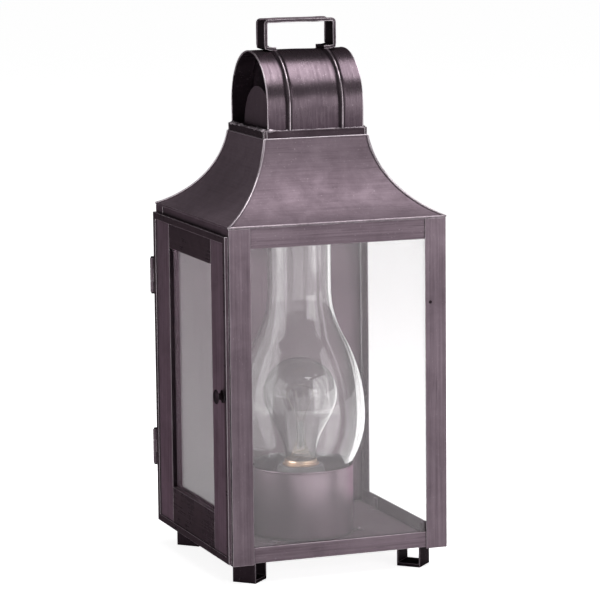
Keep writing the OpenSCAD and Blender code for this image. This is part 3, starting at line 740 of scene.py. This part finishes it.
def pane(node, finish, normal_axis):
    """A pane cut by hand: two faintly wavy faces and ground edges."""
    lo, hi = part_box(node)
    wide, tall = (a for a in range(3) if a != normal_axis)
    columns, rows_up = 26, 40
    bm = bmesh.new()
    skins = []
    for face in (0, 1):
        rows = []
        for i in range(rows_up + 1):
            row = []
            for j in range(columns + 1):
                p = [0.0, 0.0, 0.0]
                p[wide] = lo[wide] + (hi[wide] - lo[wide]) * j / columns
                p[tall] = lo[tall] + (hi[tall] - lo[tall]) * i / rows_up
                p[normal_axis] = (lo, hi)[face][normal_axis] + wander(p, 16, 0.05 * MM, 2.0 * face)
                row.append(bm.verts.new(p))
            rows.append(row)
        grid_faces(bm, rows)
        skins.append(rows)
    join_skins(bm, *skins)
    piece(node + "_pane", bm, finish, BODY_OF[node], [node])


pane("front_glass", "pane", 1)
pane("right_glass", "pane", 0)
pane("door_glass", "door_pane", 0)

# ------------------------------------------------------------ cup, chimney and lamp


def cup():
    """The spun cup: a rounded foot, a rolled rim and one standing seam."""
    rim = 0.75 * MM
    wall = cup_r - sheet_t
    outline = [(0, floor_top), (cup_r - 1.2 * MM, floor_top), (cup_r - 0.3 * MM, floor_top + 0.4 * MM),
               (cup_r, floor_top + 1.4 * MM), (cup_r, cup_top - 2.4 * MM)]
    centre = Vector((cup_r - 0.2 * MM, cup_top - rim))
    for k in range(9):
        a = math.radians(-50 + 230 * k / 8)
        outline.append((centre.x + rim * math.cos(a), centre.y + rim * math.sin(a)))
    outline += [(wall, cup_top - 2.0 * MM), (wall, floor_top + sheet_t), (5 * MM, floor_top + sheet_t)]

    def seam(r, z, angle):
        gap = (angle - math.radians(60)) / math.radians(2.2)
        return r + (0.35 * MM * math.exp(-gap * gap) if r > wall + 0.1 * MM else 0.0)

    turned("chimney_cup_wall", outline, "cup", "lantern", ["chimney_cup"], steps=180, shape=seam)


cup()


def arc(cx, cz, r, start, end, count):
    """Points of an arc in the outline's plane, angles in degrees."""
    angles = [math.radians(start + (end - start) * i / count) for i in range(count + 1)]
    return [(cx + r * math.cos(a), cz + r * math.sin(a)) for a in angles]


def chimney():
    """Fitter base, full bulge, hollow shoulder and straight neck in tangent arcs, with fire-polished rims."""
    foot = low("chimney_glass").z
    top = high("chimney_glass").z
    bulge_r = high("chimney_glass").x
    base_r = cup_r - sheet_t - 0.8 * MM
    neck_r = 25.5 * MM
    thick = 2.0 * MM
    bulge_z = base_z + 97 * MM
    low_r, high_r = 70.9 * MM, 133 * MM  # the bulge's curve below and above its widest place
    base_turn, turn, step = -33.2, 28.5, 1.2  # degrees: to the base, to the shoulder, and between points
    cosine, sine = math.cos(math.radians(turn)), math.sin(math.radians(turn))
    shoulder = (bulge_r - high_r * (1 - cosine), bulge_z + high_r * sine)
    hollow = (shoulder[0] - neck_r) / (1 - cosine)
    neck_z = shoulder[1] + hollow * sine

    def side(inset):
        points = [(base_r - inset, foot + thick / 2), (base_r - inset, foot + 9 * MM)]
        points += arc(bulge_r - low_r, bulge_z, low_r - inset, base_turn, 0, 22)
        points += arc(bulge_r - high_r, bulge_z, high_r - inset, step, turn, 24)
        points += arc(neck_r + hollow, neck_z, hollow + inset, 180 + turn - step, 180, 20)
        points += [(neck_r - inset, neck_z + (top - neck_z) * k / 4) for k in range(1, 4)]
        return points + [(neck_r - inset, top - thick / 2)]

    outer, inner = side(0), side(thick)
    lip_top = arc(neck_r - thick / 2, top - thick / 2, thick / 2, 0, 180, 8)[1:-1]
    lip_low = arc(base_r - thick / 2, foot + thick / 2, thick / 2, 180, 360, 8)[1:-1]
    turned("chimney_glass_blown", outer + lip_top + inner[::-1] + lip_low, "chimney", "chimney",
                  ["chimney_glass"], steps=160, smooth_angle=60)


chimney()

glass_z = high("bulb_cap").z
bulb_r = high("bulb_glass").x
bulb_top = high("bulb_glass").z
bulb_c = bulb_top - bulb_r
bulb_wall = 0.8 * MM
cap_r = high("bulb_cap").x
bulb_neck = cap_r - 1 * MM
THREAD_PITCH = 3.63 * MM
THREAD_DEPTH = 0.45 * MM


def bulb_side(r, inset):
    """One side of the bulb's glass: a smooth swell from the neck, then a round top of radius r."""
    points = []
    for i in range(33):
        u = i / 32
        s = (1 - math.cos(math.pi * u)) / 2
        points.append((bulb_neck - inset + (r - bulb_neck + inset) * s,
                       glass_z + (bulb_c - glass_z) * u**0.9))
    return points + arc(0, bulb_c, r, 3, 90, 26)


turned("bulb_glass_envelope", bulb_side(bulb_r, 0) + bulb_side(bulb_r - bulb_wall, bulb_wall)[::-1],
       "bulb", "bulb", ["bulb_glass"], steps=128, smooth_angle=60)


def thread(r, z, angle):
    """A rounded screw thread on the cap's barrel."""
    start, end = low("bulb_cap").z + 8 * MM, glass_z - 3.5 * MM
    if not start < z < end:
        return r
    turn = (z - start) / THREAD_PITCH - angle / (2 * math.pi)
    return r - THREAD_DEPTH * (1 - math.cos(2 * math.pi * turn)) / 2


def cap():
    """The bulb's cap: an insulator that tapers to the contact, a threaded barrel and a rolled neck."""
    bottom = low("bulb_cap").z
    outline = [(0, bottom), (4 * MM, bottom), (9.5 * MM, bottom + 2.8 * MM),
               (cap_r - 0.8 * MM, bottom + 4.8 * MM)]
    outline += [(cap_r, bottom + (6.8 + 0.36 * k) * MM) for k in range(36)]
    outline += [(cap_r, glass_z - 2.6 * MM), (cap_r - 0.6 * MM, glass_z - 2.0 * MM),
                (cap_r, glass_z - 1.2 * MM), (cap_r - 0.3 * MM, glass_z), (0, glass_z)]
    turned("bulb_cap_threaded", outline, "cap", "bulb", ["bulb_cap"], closed=False, shape=thread)


cap()
stem_z = low("bulb_stem").z
stem_outline = [(0, stem_z), (bulb_neck - 1.5 * MM, stem_z)]
stem_outline += [(r * MM, stem_z + z * MM) for r, z in (
    (8.2, 3), (6, 8), (4.2, 13), (3.2, 20), (3, 27), (3.4, 29.5), (2.4, 31), (0, 31.2))]
turned("bulb_stem_mount", stem_outline, "stem", "bulb", ["bulb_stem"], closed=False, steps=48,
       smooth_angle=70)


def filament():
    """Lead wires, two support hooks and a fine coil that bows between the leads' tips."""
    across = Vector((0, 1, 0))
    lead = 24 * MM
    lean = math.radians(24)
    root = stem_z + 31 * MM
    tip = Vector((2 * MM + lead * math.sin(lean), 0, root + lead * math.cos(lean)))
    for side, word in ((-1, "left"), (1, "right")):
        path = [Vector((side * 1.6 * MM, 0, stem_z + 12 * MM)), Vector((side * 2 * MM, 0, root)),
                Vector((side * tip.x, 0, tip.z))]
        swept(f"lead_wire_{word}", path, ring(0.35 * MM, 8), "wire", "bulb", up=across)
        hook = [Vector((side * 0.6 * MM, 0, root - 1 * MM)),
                Vector((side * 3 * MM, side * 2 * MM, root + 15 * MM)),
                Vector((side * 4.2 * MM, side * 0.6 * MM, tip.z + 3.6 * MM))]
        swept(f"support_wire_{word}", hook, ring(0.18 * MM, 6), "wire", "bulb", up=across)
    bow_r, bow_a = 14.5 * MM, math.radians(36)
    centre_z = tip.z - bow_r * math.sin(bow_a) + 0.2 * MM
    coil_r = 0.5 * MM
    turns = 46
    steps = 8 * turns
    path = []
    for i in range(steps + 1):
        a = bow_a + (math.pi - 2 * bow_a) * i / steps
        out = Vector((math.cos(a), 0, math.sin(a)))
        spin = 2 * math.pi * turns * i / steps
        path.append(Vector((0, 0, centre_z)) + out * (bow_r + coil_r * math.cos(spin))
                    + Vector((0, coil_r * math.sin(spin), 0)))
    swept("filament_coil", path, ring(0.12 * MM, 5), "wire", "bulb", ["bulb_filament"],
          up=Vector((0.3, 1, 0.2)), smooth_angle=80)


filament()
for node, finish in (("bulb_contact", "solder"), ("centre_contact", "brass"), ("lampholder_shell", "brass"),
                     ("lampholder", "moulding"), ("nipple", "brass"), ("locknut", "brass")):
    rounded(node, finish, 0.2 * MM)

# ------------------------------------------------------------ door, hinges and latch

rounded("door_front_stile", "stile", 0.3 * MM, wear_and_highlight="soft_edge")
reveal_x = low("door_rear_stile").x + 1.2 * MM
rear_stile = rounded("door_rear_stile", "stile", 0.3 * MM, wear_and_highlight="soft_edge")
# Painted shade: the rear stile's front-facing reveal takes the near-black finish.
repaint(rear_stile, "black", lambda c, n: c.x > reveal_x and n.y < -0.5)
rounded("door_top_rail", "door_rail", 0.3 * MM, wear_and_highlight="soft_edge")
bottom_rail = rounded("door_bottom_rail", "door_rail", 0.3 * MM, wear_and_highlight="soft_edge")
# Painted light: the bottom rail's upward faces by the reveal take the paler ledge finish.
repaint(bottom_rail, "ledge", lambda c, n: c.x > reveal_x - 0.9 * MM and n.z > 0.5)
rounded("door_border", "door_rail", 0.3 * MM, wear_and_highlight="edge")
for node, finish, radius in (("door_glass_clips", "plain", 0.15), ("hinge_body_leaves", "plain", 0.2),
                             ("hinge_door_leaves", "plain", 0.15), ("hinge_pins", "black", 0.2),
                             ("latch_spindle", "brass", 0.2), ("latch_cam", "plain", 0.2)):
    rounded(node, finish, radius * MM)

# The knob from its rose to its crown, as (radius, distance from the door) in millimetres.
knob_outline = [(0, 0), (2.3, 0), (2.3, 1.0), (4.9, 1.05), (5.2, 1.3), (5.1, 1.7), (3.3, 2.2), (2.6, 2.9),
                (2.4, 3.8), (2.6, 4.7), (3.6, 5.4), (5.2, 5.75), (5.7, 6.15), (5.5, 6.75), (4.4, 7.5),
                (2.8, 7.95), (0, 8.1)]
knob_place = Matrix.Translation((knob_start, knob_y, knob_z)) @ Matrix.Rotation(-math.pi / 2, 4, "Y")
turned("latch_knob_turned", [(r * MM, z * MM) for r, z in knob_outline], "black", "latch", ["latch_knob"],
       place=knob_place, steps=48, closed=False, smooth_angle=50)

rivet_at = Vector((75.7 * MM, -half, base_z + 195.4 * MM))
rivet_place = Matrix.Translation(rivet_at) @ Matrix.Rotation(math.pi / 2, 4, "X")
rivet_outline = [(1.3, -0.3), (1.3, 0.1), (1.0, 0.45), (0.5, 0.62), (0, 0.66)]
turned("post_rivet", [(r * MM, z * MM) for r, z in rivet_outline], "black", "lantern", place=rivet_place,
       steps=24, closed=False)

# ------------------------------------------------------------ floor, light and camera


def stage_floor():
    """A pale floor that looks evenly lit to the camera, and lights the lantern only a little from below."""
    size = 40.0
    glow_given, glow_seen = 0.08, 0.885
    mesh = bpy.data.meshes.new("floor")
    corners = [(-size, -size, 0), (size, -size, 0), (size, size, 0), (-size, size, 0)]
    mesh.from_pydata(corners, [], [(0, 1, 2, 3)])
    floor = bpy.data.objects.new("floor", mesh)
    bpy.context.scene.collection.objects.link(floor)
    t = Tree("floor_paint")
    rays = t.node("ShaderNodeLightPath").outputs
    seen = t.maths("MAXIMUM", rays["Is Camera Ray"], rays["Is Transmission Ray"])
    glow = t.span(seen, 0.0, 1.0, glow_given, glow_seen)
    mesh.materials.append(t.surface(t.principled(base_color=(0.9, 0.9, 0.9, 1), roughness=0.9,
                                                 emission_color=(1, 1, 1, 1), emission_strength=glow)))


stage_floor()


def area_light(name, place, target, size, power, diffuse=True):
    """A soft box aimed at a target; without diffuse it shows only in reflections and through glass."""
    data = bpy.data.lights.new(name, "AREA")
    data.shape = "RECTANGLE"
    data.size, data.size_y = size
    data.energy = power
    obj = bpy.data.objects.new(name, data)
    bpy.context.scene.collection.objects.link(obj)
    obj.location = place
    obj.rotation_mode = "QUATERNION"
    obj.rotation_quaternion = (Vector(target) - Vector(place)).to_track_quat("-Z", "Y")
    obj.visible_diffuse = diffuse


middle = Vector((0, 0, 0.25))


def around(azimuth, elevation, distance):
    """A place round the lantern: azimuth 0 is straight in front and 90 is to the right."""
    a, e = math.radians(azimuth), math.radians(elevation)
    return middle + distance * Vector((math.sin(a) * math.cos(e), -math.cos(a) * math.cos(e), math.sin(e)))


area_light("overhead_box", around(45, 68, 1.6), middle, (1.2, 1.1), 30)
area_light("front_right_box", around(20, 6, 2.4), middle, (1.3, 1.1), 14)
for name, azimuth, distance, width, power in (("right_strip", 50, 1.45, 1.0, 8),
                                              ("left_strip", -86, 1.35, 1.2, 15)):
    place = around(azimuth, 0, distance) + Vector((0, 0, 0.37))
    area_light(name, place, (0, 0, place.z), (width, 1.2), power, diffuse=False)

world = bpy.data.worlds.new("studio")
world.use_nodes = True
bpy.context.scene.world = world
tree = world.node_tree
tree.nodes.clear()


def background(grey, strength):
    made = tree.nodes.new("ShaderNodeBackground")
    made.inputs["Color"].default_value = (grey, grey, grey, 1)
    made.inputs["Strength"].default_value = strength
    return made


dim, seen = background(1, 0.11), background(0.98, 1.0)  # the light it gives, and what the camera sees
chosen = tree.nodes.new("ShaderNodeMixShader")
rays = tree.nodes.new("ShaderNodeLightPath")
tree.links.new(rays.outputs["Is Camera Ray"], chosen.inputs[0])
tree.links.new(dim.outputs[0], chosen.inputs[1])
tree.links.new(seen.outputs[0], chosen.inputs[2])
tree.links.new(chosen.outputs[0], tree.nodes.new("ShaderNodeOutputWorld").inputs["Surface"])

bpy.context.scene.view_settings.view_transform = "Standard"

YAW, PITCH, ROLL = -0.3558, 0.1511, -0.0108  # radians
CAMERA_PLACE = (-0.86016, -2.31742, 0.58221)
LENS = 189.2
back = Vector((math.sin(YAW) * math.cos(PITCH), -math.cos(YAW) * math.cos(PITCH), math.sin(PITCH)))
right = Vector((math.cos(YAW), math.sin(YAW), 0))
up = back.cross(right)
right_rolled = math.cos(ROLL) * right + math.sin(ROLL) * up
up_rolled = math.cos(ROLL) * up - math.sin(ROLL) * right
camera = bpy.data.objects.new("camera", bpy.data.cameras.new("camera"))
camera.data.sensor_width = 36
camera.data.lens = LENS
camera.data.clip_end = 200
camera.rotation_mode = "QUATERNION"
camera.rotation_quaternion = Matrix((right_rolled, up_rolled, back)).transposed().to_quaternion()
camera.location = CAMERA_PLACE
bpy.context.scene.collection.objects.link(camera)
bpy.context.scene.camera = camera
